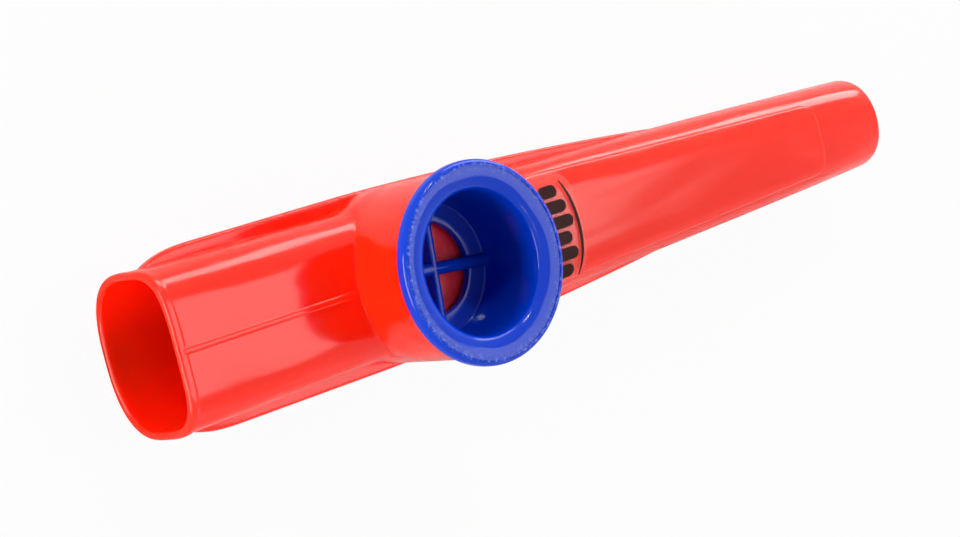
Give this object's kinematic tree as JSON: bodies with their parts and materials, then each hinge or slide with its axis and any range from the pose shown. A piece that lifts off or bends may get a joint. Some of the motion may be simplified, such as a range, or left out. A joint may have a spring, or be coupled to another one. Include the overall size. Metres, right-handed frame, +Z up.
{
  "type": "kazoo",
  "caption": "Moulded plastic kazoo: tapering hollow body with side fins and a round turret, closed by a flared cap over a thin vibrating membrane.",
  "frame": {"origin": "centre of the bounding box's underside: on the flat of the underside, midway along the body and on its middle plane", "axes": "+X along the body from the mouthpiece to the outlet, +Z up along the turret and the cap, +Y to the left of someone looking from the mouthpiece to the outlet"},
  "size_m": [0.12, 0.023, 0.0247],
  "materials": {
    "body_plastic": "glossy red injection moulding, slightly translucent",
    "cap_plastic": "glossy blue injection moulding",
    "membrane_film": "thin milky film",
    "ring_plastic": "plain white carrier ring",
    "label_film": "clear sticker film with a dark printed pattern over red plastic"
  },
  "bodies": {
    "body": {"body": "body_plastic", "label": "label_film"},
    "cap": {"cap": "cap_plastic"},
    "membrane": {"membrane": "membrane_film", "membrane_ring": "ring_plastic"}
  },
  "joints": [
    {"name": "cap_lift", "type": "slide", "parent": "body", "child": "cap", "axis": [0, 0, 1], "range_m": [0, 0.03]},
    {"name": "membrane_lift", "type": "slide", "parent": "body", "child": "membrane", "axis": [0, 0, 1], "range_m": [0, 0.012]}
  ],
  "couplings": [
    {"joint": "membrane_lift", "follows": "cap_lift", "ratio": 0.4}
  ]
}
